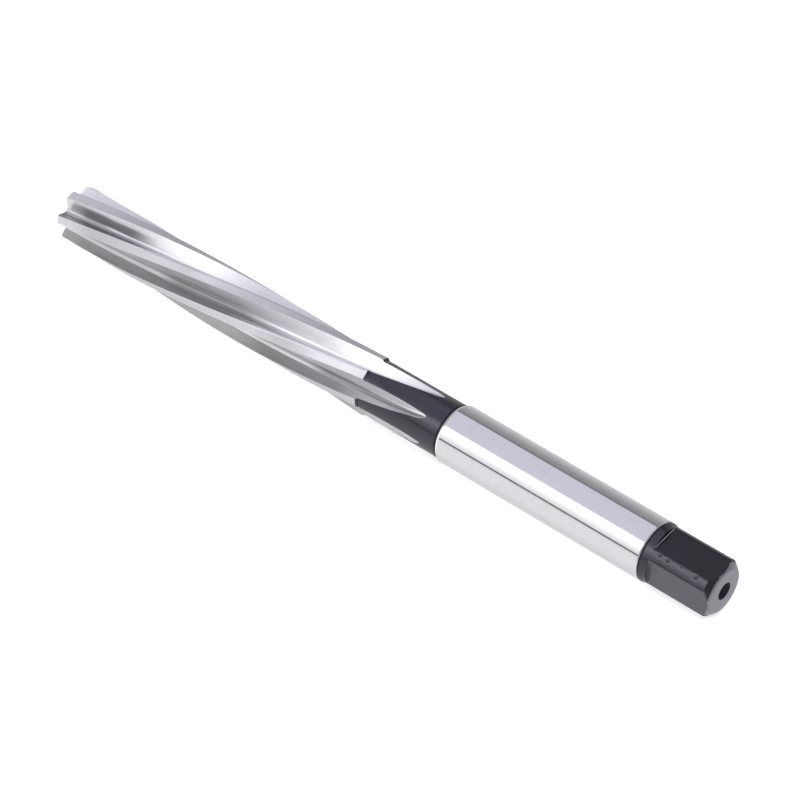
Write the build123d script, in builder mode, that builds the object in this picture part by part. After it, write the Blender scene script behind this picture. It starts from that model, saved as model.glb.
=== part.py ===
from build123d import *
import math
import os

# A hand reamer with six left-hand helical flutes, lying on its side along X.
# The cutting tip points to -X and the drive square to +X. The lowest teeth and the
# shank touch the plane z = 0, and the origin is on that plane, under the middle.
# Lengths are in millimetres, and places along the tool are measured from the tip.

# Lengths along the tool
OVERALL_LENGTH = 133.0
CUTTING_LENGTH = 66.0
LEAD_LENGTH = 16.5  # the tip half that tapers, to start in the hole
TIP_BEVEL = 0.3  # bevel at the very tip, as long as it is high
NECK_LENGTH = 15.7  # black neck between the teeth and the ground shank
SHANK_CHAMFER = 0.5  # at the neck, where the shank starts
SHANK_END_CHAMFER = 0.25  # 45 degree chamfer where the shank meets the collar
COLLAR_LENGTH = 1.0  # raised collar behind the shank
COLLAR_CHAMFER = 0.2  # cone at its end, down to the diameter over the corners
SHOULDER_LENGTH = 0.4  # round part between the collar and the flats
SQUARE_LENGTH = 11.0
END_CHAMFER = 1.05  # 45 degree chamfer at the square end

# Diameters
CUTTING_DIAMETER = 10.0
TIP_DIAMETER = 9.6  # over the teeth at the tip, where the lead starts
NECK_DIAMETER = 9.3
SHANK_DIAMETER = 10.0
COLLAR_DIAMETER = 9.92
CORNER_DIAMETER = 9.5  # over the rounded corners of the square
SQUARE_WIDTH = 7.9  # across the flats, inside the tolerance of an 8 mm square

# Teeth and flutes
TEETH = 6
HELIX_LEAD = 225.0  # length of one full turn of the left-hand helix
FIRST_EDGE_ANGLE = 62.0  # of one cutting edge at the tip, from +Z towards -Y
MARGIN_WIDTH = 0.3  # cylindrical strip behind each cutting edge
LEAD_MARGIN_WIDTH = 0.1  # the same strip along the tapered lead, nearly sharp
LAND_WIDTH = 1.5  # margin and relief together, from the edge to the heel
RELIEF_DROP = 0.14  # how much lower the heel is than the cutting edge
CORE_DIAMETER = 5.6  # solid core under the flutes
RAKE_ANGLE = 8.0  # of the cutting face to the radius at its edge
ROOT_RADIUS = 0.7  # of the flute's bottom
RUN_OUT_LENGTH = 12.5  # of the neck that the ends of the flutes run through
WHEEL_RADIUS = 85.0  # of the grinding wheel that lifts out of the flute
LIFT_ANGLE = 27.0  # from the cutting edge back to the way in which the wheel lifts

# Centre holes, one in each end
CENTRE_MOUTH_DIAMETER = 2.8
CENTRE_PILOT_DIAMETER = 1.25
CENTRE_PILOT_DEPTH = 1.8  # of the straight pilot, past the cone
CENTRE_POINT_DEPTH = 0.3  # of the drill point at the end of the pilot
CENTRE_CONE_ANGLE = 60.0

# How finely the flutes are followed
SECTION_STEP = 6.0  # between sections along the helix
OVERSHOOT = 1.0  # how far a cutter reaches past what it cuts

# Worked out from the sizes above
AXIS_HEIGHT = max(CUTTING_DIAMETER, SHANK_DIAMETER) / 2
SHANK_START = CUTTING_LENGTH + NECK_LENGTH
RUN_OUT_END = CUTTING_LENGTH + RUN_OUT_LENGTH
SQUARE_START = OVERALL_LENGTH - SQUARE_LENGTH
COLLAR_END = SQUARE_START - SHOULDER_LENGTH
COLLAR_START = COLLAR_END - COLLAR_LENGTH
PITCH_ANGLE = 360.0 / TEETH


def cross_plane(distance, turn=0.0):
    """Plane across the tool at a distance from the tip, its x axis turned from +Z towards -Y."""
    upward = Vector(0, 0, 1).rotate(Axis.X, turn)
    return Plane(
        origin=(distance - OVERALL_LENGTH / 2, 0, AXIS_HEIGHT),
        x_dir=upward,
        z_dir=(1, 0, 0),
    )


def helix_angle(distance):
    """Direction of the first cutting edge at a distance from the tip, in degrees."""
    return FIRST_EDGE_ANGLE - 360.0 * distance / HELIX_LEAD


def polar_point(radius, degrees):
    """Point of a cross section, from its radius and its angle to the cutting edge."""
    return (radius * math.cos(math.radians(degrees)), radius * math.sin(math.radians(degrees)))


def edge_radius(distance):
    """Radius of the cutting edge at a distance from the tip, tapered along the lead."""
    share = min(max(distance / LEAD_LENGTH, 0.0), 1.0)
    return (TIP_DIAMETER + share * (CUTTING_DIAMETER - TIP_DIAMETER)) / 2


def even_steps(start, end, step):
    """Places from start to end, evenly spaced and no further apart than step."""
    count = max(1, math.ceil((end - start) / step))
    return [start + (end - start) * index / count for index in range(count + 1)]


def flute_root():
    """Centre of the arc at the flute's bottom, which touches the core and the cutting face."""
    into_flute = Vector(polar_point(1, RAKE_ANGLE - 90))
    up_the_face = Vector(polar_point(1, RAKE_ANGLE))
    level = Vector(CUTTING_DIAMETER / 2, 0) + into_flute * ROOT_RADIUS
    height = level.dot(up_the_face)
    aside = level.dot(into_flute)
    foot_height = math.sqrt((CORE_DIAMETER / 2 + ROOT_RADIUS) ** 2 - aside**2)
    return level - up_the_face * (height - foot_height)


def wheel_lift(distance):
    """How far the grinding wheel has lifted out of the flute, on the arc of its rim.

    The flute ends where the lifted arc of its bottom only just touches the neck.
    """
    centre = flute_root()
    along = centre.dot(Vector(polar_point(1, -LIFT_ANGLE)))
    clear_of_neck = NECK_DIAMETER / 2 + ROOT_RADIUS
    full_lift = math.sqrt(clear_of_neck**2 - centre.dot(centre) + along**2) - along
    lift_start = RUN_OUT_END - math.sqrt(2 * WHEEL_RADIUS * full_lift)
    past = max(distance - lift_start, 0.0)
    return past * past / (2 * WHEEL_RADIUS)


def flute_section(distance, tooth):
    """Section of the flute in front of one cutting edge, at a distance from the tip.

    The cutting face runs straight down to the arc of the root. From there the back of the
    tooth in front rises in a straight line that touches the arc and reaches the heel. The
    section moves out as the wheel lifts.
    """
    shift = Vector(polar_point(wheel_lift(distance), -LIFT_ANGLE))
    centre = flute_root()
    up_the_face = Vector(polar_point(1, RAKE_ANGLE))
    edge = Vector(CUTTING_DIAMETER / 2, 0)
    face_foot = centre + Vector(polar_point(ROOT_RADIUS, RAKE_ANGLE + 90))
    bottom = centre.normalized() * (CORE_DIAMETER / 2)
    heel_angle = math.degrees(LAND_WIDTH / edge.X) - PITCH_ANGLE
    heel = Vector(polar_point(edge.X - RELIEF_DROP, heel_angle))
    to_centre = centre - heel
    lean = math.degrees(math.asin(ROOT_RADIUS / to_centre.length))
    down_the_back = to_centre.normalized().rotate(Axis.Z, lean)
    back_foot = heel + down_the_back * math.sqrt(to_centre.length**2 - ROOT_RADIUS**2)
    with BuildSketch(cross_plane(distance, helix_angle(distance) + tooth * PITCH_ANGLE)) as section:
        with BuildLine():
            face = Line(edge + up_the_face * OVERSHOOT + shift, face_foot + shift)
            root = ThreePointArc(face @ 1, bottom + shift, back_foot + shift)
            back = Line(root @ 1, heel - down_the_back * (2 * OVERSHOOT) + shift)
            Line(back @ 1, face @ 0)
        make_face()
    return section.sketch


def relief_section(distance, tooth, margin):
    """Section of the relief: a flat that falls from the end of a tooth's margin to its heel.

    It starts in front of the tooth and ends behind it, where the flutes are already open.
    """
    radius = edge_radius(distance)
    margin_end = Vector(polar_point(radius, math.degrees(margin / radius)))
    heel = Vector(polar_point(radius - RELIEF_DROP, math.degrees(LAND_WIDTH / radius)))
    slope = (heel - margin_end).normalized()
    before = margin_end - slope * OVERSHOOT
    past = heel + slope * OVERSHOOT
    with BuildSketch(cross_plane(distance, helix_angle(distance) + tooth * PITCH_ANGLE)) as section:
        with BuildLine():
            Polyline(before, past, past + Vector(OVERSHOOT, 0), before + Vector(OVERSHOOT, 0), close=True)
        make_face()
    return section.sketch


# Turned blank: the outline above the axis, turned once round
with BuildPart() as reamer:
    blank_plane = Plane(
        origin=(-OVERALL_LENGTH / 2, 0, AXIS_HEIGHT), x_dir=(1, 0, 0), z_dir=(0, -1, 0)
    )
    with BuildSketch(blank_plane):
        with BuildLine():
            Polyline(
                (0, 0),
                (0, TIP_DIAMETER / 2 - TIP_BEVEL),
                (TIP_BEVEL, edge_radius(TIP_BEVEL)),
                (LEAD_LENGTH, CUTTING_DIAMETER / 2),
                (CUTTING_LENGTH, CUTTING_DIAMETER / 2),
                (CUTTING_LENGTH, NECK_DIAMETER / 2),
                (SHANK_START, NECK_DIAMETER / 2),
                (SHANK_START + SHANK_CHAMFER, SHANK_DIAMETER / 2),
                (COLLAR_START - SHANK_END_CHAMFER, SHANK_DIAMETER / 2),
                (COLLAR_START, SHANK_DIAMETER / 2 - SHANK_END_CHAMFER),
                (COLLAR_START, COLLAR_DIAMETER / 2),
                (COLLAR_END - COLLAR_CHAMFER, COLLAR_DIAMETER / 2),
                (COLLAR_END, CORNER_DIAMETER / 2),
                (OVERALL_LENGTH - END_CHAMFER, CORNER_DIAMETER / 2),
                (OVERALL_LENGTH, CORNER_DIAMETER / 2 - END_CHAMFER),
                (OVERALL_LENGTH, 0),
                close=True,
            )
        make_face()
    revolve(axis=Axis((0, 0, AXIS_HEIGHT), (1, 0, 0)))

    # Drive square: all that lies outside its four flats is cut away
    with BuildSketch(cross_plane(SQUARE_START)):
        Circle(COLLAR_DIAMETER / 2 + OVERSHOOT)
        Rectangle(SQUARE_WIDTH, SQUARE_WIDTH, mode=Mode.SUBTRACT)
    extrude(amount=SQUARE_LENGTH + OVERSHOOT, mode=Mode.SUBTRACT)

    # Flutes, each along its helix and out through the neck
    for tooth in range(TEETH):
        places = even_steps(-OVERSHOOT, RUN_OUT_END + OVERSHOOT, SECTION_STEP)
        loft([flute_section(place, tooth) for place in places], mode=Mode.SUBTRACT)

    # Relief of the teeth, first along the tapered lead and then behind the full margin
    for tooth in range(TEETH):
        for start, end, margin in (
            (-OVERSHOOT, LEAD_LENGTH, LEAD_MARGIN_WIDTH),
            (LEAD_LENGTH, CUTTING_LENGTH + OVERSHOOT, MARGIN_WIDTH),
        ):
            places = even_steps(start, end, SECTION_STEP)
            loft([relief_section(place, tooth, margin) for place in places], mode=Mode.SUBTRACT)

    # Centre holes: a cone on a straight pilot with a drill point, turned about the axis
    cone_length = (CENTRE_MOUTH_DIAMETER - CENTRE_PILOT_DIAMETER) / 2 / math.tan(
        math.radians(CENTRE_CONE_ANGLE / 2)
    )
    for end, inward in ((0.0, 1.0), (OVERALL_LENGTH, -1.0)):
        with BuildSketch(blank_plane):
            with BuildLine():
                Polyline(
                    (end, 0),
                    (end, CENTRE_MOUTH_DIAMETER / 2),
                    (end + inward * cone_length, CENTRE_PILOT_DIAMETER / 2),
                    (end + inward * (cone_length + CENTRE_PILOT_DEPTH), CENTRE_PILOT_DIAMETER / 2),
                    (end + inward * (cone_length + CENTRE_PILOT_DEPTH + CENTRE_POINT_DEPTH), 0),
                    close=True,
                )
            make_face()
        revolve(axis=Axis((0, 0, AXIS_HEIGHT), (1, 0, 0)), mode=Mode.SUBTRACT)

reamer.part.label = "hand_reamer"

os.makedirs("parts", exist_ok=True)
export_step(reamer.part, "parts/hand_reamer.step")
print("volume", round(reamer.part.volume, 1), "mm3, faces", len(reamer.part.faces()))
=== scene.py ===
"""Looks of a hand reamer on a pale floor under soft studio light.

The whole tool is one closed skin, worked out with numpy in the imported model's frame: rows
of points round the axis, one row after another from the cutting tip to the drive square.
Sizes are in millimetres and angles in degrees until the mesh is made. An angle round the
axis is counted from straight up (+Z) towards the front (-Y).
"""

import logging
import math
from collections.abc import Sequence
from dataclasses import dataclass, field
from enum import Enum

import bpy
import numpy as np
from mathutils import Matrix, Vector


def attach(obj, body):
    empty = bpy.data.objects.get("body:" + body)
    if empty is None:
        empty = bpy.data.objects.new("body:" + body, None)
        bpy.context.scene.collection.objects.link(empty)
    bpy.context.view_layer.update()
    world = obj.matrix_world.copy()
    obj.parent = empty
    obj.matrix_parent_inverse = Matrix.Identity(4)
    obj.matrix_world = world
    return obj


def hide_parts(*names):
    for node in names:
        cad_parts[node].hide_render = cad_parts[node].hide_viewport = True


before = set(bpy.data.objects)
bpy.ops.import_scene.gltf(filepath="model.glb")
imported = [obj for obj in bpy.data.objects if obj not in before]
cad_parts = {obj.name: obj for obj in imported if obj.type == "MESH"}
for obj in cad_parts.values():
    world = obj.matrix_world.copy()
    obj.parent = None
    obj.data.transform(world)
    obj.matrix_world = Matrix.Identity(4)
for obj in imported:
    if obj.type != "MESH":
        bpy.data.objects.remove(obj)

LOG = logging.getLogger("reamer")
MM = 0.001
TEETH = 6
HELIX_LEAD = 225.0
AXIS_HEIGHT = 5.0
NECK_RADIUS = 4.65
Array = np.ndarray
Socket = bpy.types.NodeSocket
Inputs = dict[str | int, object]
Tone = tuple[float, float, float]
Panels = tuple[tuple[float, float, float], ...]


class Finish(Enum):
    """Finishes of the tool's surface, in the order of the mesh's material slots."""

    SHANK = 0
    FLUTE = 1
    LAND = 2
    NECK = 3
    SQUARE = 4
    HOLE = 5
    FACE = 6
    END = 7


class Grain(Enum):
    """Direction in which the marks of a finish run."""

    ROUND = "round the axis"
    HELIX = "along the flutes"
    ALONG = "along the axis"


class Mark(Enum):
    """Places of a section at which its columns change."""

    FACE_FOOT = "foot of the cutting face"
    EDGE = "cutting edge"
    HEEL = "heel of the land"
    BACK_FOOT = "foot of the tooth's back"


def polar(radius: float, angle: float) -> Array:
    """Point of a cross section: radius times the cosine and the sine of the angle."""
    return radius * np.array([math.cos(math.radians(angle)), math.sin(math.radians(angle))])


def arc(centre: Array, radius: float, start: float, end: float, count: int) -> Array:
    """Points of an arc: centre plus radius times the cosine and sine of even angles."""
    angle = np.radians(np.linspace(start, end, count))
    return centre + radius * np.stack([np.cos(angle), np.sin(angle)], axis=1)


def shares(count: int) -> Array:
    """Even steps from 0 to 1, one in each row."""
    return np.linspace(0.0, 1.0, count)[:, None]


def gathered(start: float, end: float, near: Sequence[float], count: int) -> Array:
    """Places from start to end: the near ones from both ends, and even ones in between."""
    inner = np.linspace(start + near[-1], end - near[-1], count + 2)[1:-1]
    return np.r_[start + np.array(near), inner, end - np.array(near)[::-1]]


def wrap(angle: Array, turn: float = 360.0) -> Array:
    """Angle less whole turns, so that it lies within half a turn of nil."""
    return (angle + turn / 2) % turn - turn / 2


def plateau(value: Array, start: float, end: float, soft: float) -> Array:
    """1 between two places, with an even slope down to 0 over the soft stretch inside each."""
    return np.clip((value - start) / soft, 0.0, 1.0) * np.clip((end - value) / soft, 0.0, 1.0)


@dataclass(frozen=True)
class Lie:
    """How the tool lies: along X with its tip towards -X, the axis at one height."""

    length: float = 133.0
    height: float = AXIS_HEIGHT

    def place(self, along: Array, radius: Array, angle: Array) -> Array:
        """Points in metres from cylinder coordinates.

        x is the distance from the tip less half the length, y is minus the radius times
        the sine of the angle, and z is the axis height plus the radius times the cosine.

        Args:
            along: distance from the tip.
            radius: distance from the axis.
            angle: angle from +Z towards -Y.

        Returns:
            The points, one in each row.
        """
        turn = np.radians(angle)
        x = along - self.length / 2
        y = -radius * np.sin(turn)
        z = self.height + radius * np.cos(turn)
        return np.stack([x, y, z], axis=-1).reshape(-1, 3) * MM


@dataclass
class Patch:
    """Rings of points round the axis, joined row by row into four-sided faces.

    along, radius and angle spread over each other to one value for each row and column.
    finish holds one number for each face, for each column or for all. creases lists the
    columns along which the surface has a sharp edge. The last field says, from 0 to 1, how
    far a point takes the painted tone of its finish: painted light and shade, drawn as bare
    steel on black and as a darker or lighter tone on steel.
    """

    along: Array | float
    radius: Array | float
    angle: Array
    finish: Array | int
    creases: tuple[int, ...] = ()
    painted_light_share: Array | float = 0.0


@dataclass
class Skin:
    """Closed mesh that is put together from patches whose borders meet point on point.

    Points that fall on one place of a grid of the weld's size become one. Edges that bend
    by more than sharp_angle are sharp. crease_step keeps two patches' creases apart.
    """

    lie: Lie
    patches: list[Patch] = field(default_factory=list)
    weld: float = 2e-5
    sharp_angle: float = 24.0
    crease_step: int = 1000

    def add(self, patch: Patch) -> None:
        """Adds one patch."""
        self.patches.append(patch)

    def arrays(self) -> tuple[Array, Array, Array, Array, Array]:
        """Points, faces, finishes, creases and shares of painted light of all patches, before the weld.

        A face joins a point, its neighbour in the ring, and the same two of the next
        row, in the order that makes it face away from the axis.

        Returns:
            Points in metres, corner numbers of the faces, a finish for each face, a
            crease number for each point (-1 for none), and each point's share of painted light or shade.
        """
        parts, first = [], 0
        for number, patch in enumerate(self.patches):
            along, radius, angle = np.broadcast_arrays(patch.along, patch.radius, patch.angle)
            rows, columns = along.shape
            index = first + np.arange(rows * columns).reshape(rows, columns)
            beside = np.roll(index, -1, axis=1)
            quads = np.stack([index[:-1], beside[:-1], beside[1:], index[1:]], axis=-1)
            crease = np.full((rows, columns), -1)
            for column in patch.creases:
                crease[:, column] = number * self.crease_step + column
            parts.append((
                self.lie.place(along, radius, angle), quads.reshape(-1, 4),
                np.broadcast_to(patch.finish, (rows - 1, columns)).reshape(-1), crease.reshape(-1),
                np.broadcast_to(patch.painted_light_share, (rows, columns)).reshape(-1),
            ))
            first += rows * columns
        return tuple(np.concatenate(kind) for kind in zip(*parts))

    def mesh(self, name: str) -> bpy.types.Mesh:
        """Mesh of all patches, with points that meet made one and empty faces dropped.

        A corner that has become the same point as the next one of its face is left out,
        and so is a face with fewer than three corners left.

        Args:
            name: the mesh's name.

        Returns:
            The mesh, with its finish numbers, sharp edges and shares of painted light set.
        """
        points, faces, finishes, creases, painted_light_shares = self.arrays()
        keys = np.round(points / (self.weld * MM)).astype(np.int64)
        _, kept, merged = np.unique(keys, axis=0, return_index=True, return_inverse=True)
        faces = merged.reshape(-1)[faces]
        differs = faces != np.roll(faces, -1, axis=1)
        whole = differs.sum(axis=1) > 2
        corners = faces[whole][differs[whole]]
        counts = differs[whole].sum(axis=1)
        mesh = bpy.data.meshes.new(name)
        mesh.vertices.add(len(kept))
        mesh.vertices.foreach_set("co", points[kept].astype(np.float32).reshape(-1))
        mesh.loops.add(len(corners))
        mesh.loops.foreach_set("vertex_index", corners.astype(np.int32))
        mesh.polygons.add(len(counts))
        mesh.polygons.foreach_set("loop_start", (np.cumsum(counts) - counts).astype(np.int32))
        mesh.polygons.foreach_set("material_index", finishes[whole].astype(np.int32))
        # The mesh carries each point's share of painted light and shade.
        painted_light_mask = mesh.attributes.new("painted_light_share", "FLOAT", "POINT")
        painted_light_mask.data.foreach_set("value", painted_light_shares[kept].astype(np.float32))
        mesh.update(calc_edges=True)
        mesh.validate()
        mesh.set_sharp_from_angle(angle=math.radians(self.sharp_angle))
        self._crease(mesh, creases[kept])
        return mesh

    @staticmethod
    def _crease(mesh: bpy.types.Mesh, crease: Array) -> None:
        """Marks as sharp every edge whose two points carry the same crease number.

        Args:
            mesh: the mesh to mark.
            crease: a crease number for each point, -1 for none.
        """
        ends = np.empty(len(mesh.edges) * 2, dtype=np.int32)
        mesh.edges.foreach_get("vertices", ends)
        ends = crease[ends.reshape(-1, 2)]
        sharp = np.empty(len(mesh.edges), dtype=bool)
        mesh.edges.foreach_get("use_edge_sharp", sharp)
        sharp |= (ends[:, 0] == ends[:, 1]) & (ends[:, 0] >= 0)
        mesh.edges.foreach_set("use_edge_sharp", sharp)
        mesh.update()


@dataclass(frozen=True)
class FluteForm:
    """Cross section of one flute, in the frame of the cutting edge behind it.

    The first axis points from the tool's axis to the cutting edge, and the flute lies on
    the negative side of the second. overrun is how far the back's line runs on past the
    heel, turning_weight the measure of one radian of turning, and lift_reach the stretch
    that is searched for the flute's end.
    """

    edge_radius: float = 5.0
    core_radius: float = 2.8
    rake_angle: float = 8.0
    root_radius: float = 0.7
    land_width: float = 1.5
    relief_drop: float = 0.14
    pitch: float = 360.0 / TEETH
    run_out_end: float = 78.5
    wheel_radius: float = 85.0
    lift_angle: float = 27.0
    overrun: float = 2.0
    straight_points: int = 500
    arc_points: int = 160
    turning_weight: float = 0.9
    lift_reach: float = 20.0
    lift_steps: int = 4001

    def root(self) -> Array:
        """Centre of the root's arc, which touches the core and the cutting face.

        It lies beside the face by the arc's radius, and its distance from the axis is the
        core's radius plus the arc's.

        Returns:
            The centre.
        """
        beside = polar(1.0, self.rake_angle - 90.0)
        outward = polar(1.0, self.rake_angle)
        level = np.array([self.edge_radius, 0.0]) + beside * self.root_radius
        height = math.sqrt((self.core_radius + self.root_radius) ** 2 - float(level @ beside) ** 2)
        return level - outward * (float(level @ outward) - height)

    def curve(self) -> tuple[Array, Array]:
        """The whole section as dense points, from behind the heel to past the cutting edge.

        It runs in along the straight back of the tooth in front, round the arc of the
        root, which it touches, and out along the straight cutting face. The measure grows
        with the length and with the turning, so that even steps of it gather where the
        curve is tight.

        Returns:
            The points, and the measure at each of them.
        """
        centre = self.root()
        face_foot = centre + polar(self.root_radius, self.rake_angle + 90.0)
        face_end = np.array([self.edge_radius, 0.0]) + polar(1.0, self.rake_angle)
        land = math.degrees(self.land_width / self.edge_radius)
        heel = polar(self.edge_radius - self.relief_drop, land - self.pitch)
        reach = centre - heel
        length = float(np.linalg.norm(reach))
        heading = math.degrees(math.atan2(reach[1], reach[0]))
        heading += math.degrees(math.asin(self.root_radius / length))
        inward = polar(1.0, heading)
        back_foot = heel + inward * math.sqrt(length**2 - self.root_radius**2)
        root = arc(centre, self.root_radius, heading + 90.0, self.rake_angle + 90.0, self.arc_points)
        points = np.concatenate([
            np.linspace(heel - self.overrun * inward, back_foot, self.straight_points),
            root[1:],
            np.linspace(face_foot, face_end, self.straight_points)[1:],
        ])
        step = np.diff(points, axis=0)
        course = np.unwrap(np.arctan2(step[:, 1], step[:, 0]))
        turning = np.abs(np.diff(course, prepend=course[0]))
        measure = np.cumsum(np.linalg.norm(step, axis=1) + self.turning_weight * turning)
        return points, np.concatenate([[0.0], measure])

    @property
    def lift_start(self) -> float:
        """Distance from the tip at which the wheel starts to lift.

        The whole lift is what makes the root's arc touch the neck from inside. The wheel
        rises on the arc of its rim, so the stretch it needs is the root of twice its
        radius times the lift.

        Returns:
            The distance.
        """
        centre = self.root()
        along = float(centre @ polar(1.0, -self.lift_angle))
        clear = NECK_RADIUS + self.root_radius
        lift = math.sqrt(clear**2 - float(centre @ centre) + along**2) - along
        return self.run_out_end - math.sqrt(2 * self.wheel_radius * lift)

    def shift(self, along: Array) -> Array:
        """Outward shift: the way past the lift's start, squared, over twice the wheel's radius."""
        lift = np.maximum(along - self.lift_start, 0.0) ** 2 / (2 * self.wheel_radius)
        return lift[:, None] * polar(1.0, -self.lift_angle)

    @property
    def neck_end(self) -> float:
        """Distance from the tip at which the flute has run out of the neck.

        Returns:
            The distance at which the section's lowest point reaches the neck's radius.
        """
        along = np.linspace(self.lift_start, self.lift_start + self.lift_reach, self.lift_steps)
        moved = self.curve()[0][None] + self.shift(along)[:, None]
        lowest = np.linalg.norm(moved, axis=2).min(axis=1)
        return float(np.interp(NECK_RADIUS, lowest, along))


@dataclass(frozen=True)
class ShadePatch:
    """Painted shade on one tooth or its flute, between two columns and two distances.

    Columns count from the start of the flute, and are negative on the tooth.
    """

    tooth: int
    first: int
    last: int
    start: float
    end: float
    soft: float
    share: float
    soft_columns: float = 3.0

    def strength(self, along: Array, column: Array, tooth: Array) -> Array:
        """Strength of the painted shade: its share times one plateau along and one across."""
        across = plateau(column, self.first, self.last, self.soft_columns) * (tooth == self.tooth)
        return self.share * plateau(along, self.start, self.end, self.soft)[:, None] * across


@dataclass(frozen=True)
class CuttingPart:
    """Six left-hand helical teeth and the neck through which their flutes run out.

    margin_fade is the stretch over which the taper's margin widens, foot_gap keeps the
    foot of the teeth under their land, and wall_gap is the way from the teeth's last row
    to the wall. The sheen table says, for each tooth, where the painted sheen on its
    cutting face starts and how strong it is.
    """

    flute: FluteForm = FluteForm()
    first_edge: float = 62.0
    length: float = 66.0
    taper_length: float = 16.5
    tip_radius: float = 4.8
    bevel: float = 0.3
    end_break: float = 0.3
    margin: float = 0.3
    taper_margin: float = 0.1
    margin_fade: float = 0.4
    foot_gap: float = 0.04
    wall_gap: float = 1e-6
    face_columns: int = 4
    margin_columns: int = 3
    relief_columns: int = 17
    back_columns: int = 8
    flute_columns: int = 40
    root_column: int = 30
    bevel_rows: int = 4
    tooth_rows: int = 62
    lift_rows: int = 10
    neck_rows: int = 67
    neck_gather: float = 1.5
    # Painted sheen on the cutting faces towards the run-out: the stretch over which it grows, and where it
    # starts on each tooth and how strong it is.
    painted_sheen_fade: float = 9.0
    painted_sheen: tuple[tuple[float, float], ...] = (
        (38.0, 1.0), (61.0, 0.8), (61.0, 0.4), (61.0, 0.7), (61.0, 0.7), (61.0, 0.7),
    )
    # Painted shade: dark patches on the lands, backs and roots where the deep flutes and the teeth shut out
    # the light.
    shade_patches: tuple[ShadePatch, ...] = (
        ShadePatch(5, 2, 23, 0.5, 12.0, 4.0, 1.0), ShadePatch(5, 3, 17, 2.0, 19.0, 5.0, 1.0),
        ShadePatch(5, 14, 31, -6.0, 24.0, 9.0, 0.6), ShadePatch(0, -6, 20, 8.0, 52.0, 12.0, 0.35),
        ShadePatch(0, 6, 20, 16.0, 46.0, 10.0, 0.6), ShadePatch(0, 14, 31, -3.0, 30.0, 6.0, 0.55),
        ShadePatch(0, 14, 31, 16.0, 50.0, 10.0, 1.0), ShadePatch(1, 14, 31, 36.0, 95.0, 8.0, 0.45),
        ShadePatch(1, 14, 31, 50.0, 95.0, 8.0, 1.0), ShadePatch(2, 14, 31, 50.0, 95.0, 8.0, 0.7),
        ShadePatch(0, -31, -5, 3.0, 32.0, 4.0, 0.33), ShadePatch(1, -31, -5, 44.0, 57.0, 5.0, 0.25),
    )

    @property
    def land_columns(self) -> int:
        """Columns over one tooth, from the foot of its face to the foot of its back."""
        return self.face_columns + self.margin_columns + self.relief_columns + self.back_columns

    @property
    def columns(self) -> int:
        """Columns from one tooth to the next."""
        return self.land_columns + self.flute_columns

    def limits(self, along: Array) -> tuple[Array, Array, Array]:
        """Radius of the cutting edge, the radius that the end bevels allow, and the margin.

        Args:
            along: distances from the tip.

        Returns:
            The three, with one row for each distance.
        """
        share = np.clip(along / self.taper_length, 0.0, 1.0)
        edge = self.tip_radius + share * (self.flute.edge_radius - self.tip_radius)
        bevel = self.tip_radius - self.bevel + along
        end = self.flute.edge_radius + np.minimum(self.length - self.end_break - along, 0.0)
        fade = np.clip((along - self.taper_length + self.margin_fade) / self.margin_fade, 0.0, 1.0)
        margin = self.taper_margin + fade * (self.margin - self.taper_margin)
        return edge[:, None], np.minimum(np.minimum(edge, bevel), end)[:, None], margin[:, None]

    def land_radius(self, angle: Array, edge: Array, limit: Array, margin: Array) -> Array:
        """Radius of a tooth's land at an angle behind its cutting edge.

        It is the full radius over the margin. From there a straight relief falls to the
        heel: its distance from the axis over the cosine of the angle to its normal. The
        end bevels cut off what stands above them.

        Args:
            angle: angles behind the edge.
            edge: radius of the cutting edge.
            limit: radius that the end bevels allow.
            margin: width of the margin.

        Returns:
            The radius for each angle.
        """
        start = margin / edge
        heel = self.flute.land_width / edge
        drop = edge - self.flute.relief_drop
        run_x = drop * np.cos(heel) - edge * np.cos(start)
        run_y = drop * np.sin(heel) - edge * np.sin(start)
        normal = np.arctan2(-run_x, run_y)
        turn = np.radians(angle)
        relief = edge * np.cos(start - normal) / np.cos(turn - normal)
        return np.minimum(np.where(turn <= start, edge, relief), limit)

    def crossings(self, radii: Array, angles: Array, measure: Array, along: Array) -> dict[Mark, Array]:
        """Measures at which the flute's section meets the land and the foot of the teeth.

        On each side of its lowest point the curve rises steadily, so the place where it
        passes a radius lies between the last point below and the first one above.

        Args:
            radii: radius of each row's curve points.
            angles: their angles, from the cutting edge.
            measure: the curve's measure.
            along: distances from the tip.

        Returns:
            The measure of each mark.
        """
        edge, limit, margin = self.limits(along)
        lowest = radii.argmin(axis=1)[:, None]
        number = np.arange(radii.shape[1])[None]
        foot = np.minimum(NECK_RADIUS, limit - self.foot_gap)
        foot = np.where(along[:, None] < self.length, foot, NECK_RADIUS)
        land = self.land_radius(angles + self.flute.pitch, edge, limit, margin)
        rows = np.arange(len(along))

        def meet(gap: Array, back: bool) -> Array:
            """Measure at which each row's gap is nil.

            Args:
                gap: how far each curve point stands outside the radius to meet.
                back: True on the back's side of the lowest point, False on the face's.

            Returns:
                One measure for each row.
            """
            if back:
                low = np.maximum(((number < lowest) & (gap > 0)).sum(axis=1) - 1, 0)
            else:
                low = lowest[:, 0] + ((number >= lowest) & (gap <= 0)).sum(axis=1) - 1
                low = np.clip(low, 0, radii.shape[1] - 2)
            before, after = gap[rows, low], gap[rows, low + 1]
            share = np.clip(before / np.where(before == after, 1.0, before - after), 0.0, 1.0)
            return measure[low] + share * (measure[low + 1] - measure[low])

        return {
            Mark.BACK_FOOT: meet(radii - foot, True),
            Mark.HEEL: meet(radii - land, True),
            Mark.FACE_FOOT: meet(radii - foot, False),
            Mark.EDGE: meet(radii - limit, False),
        }

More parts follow.
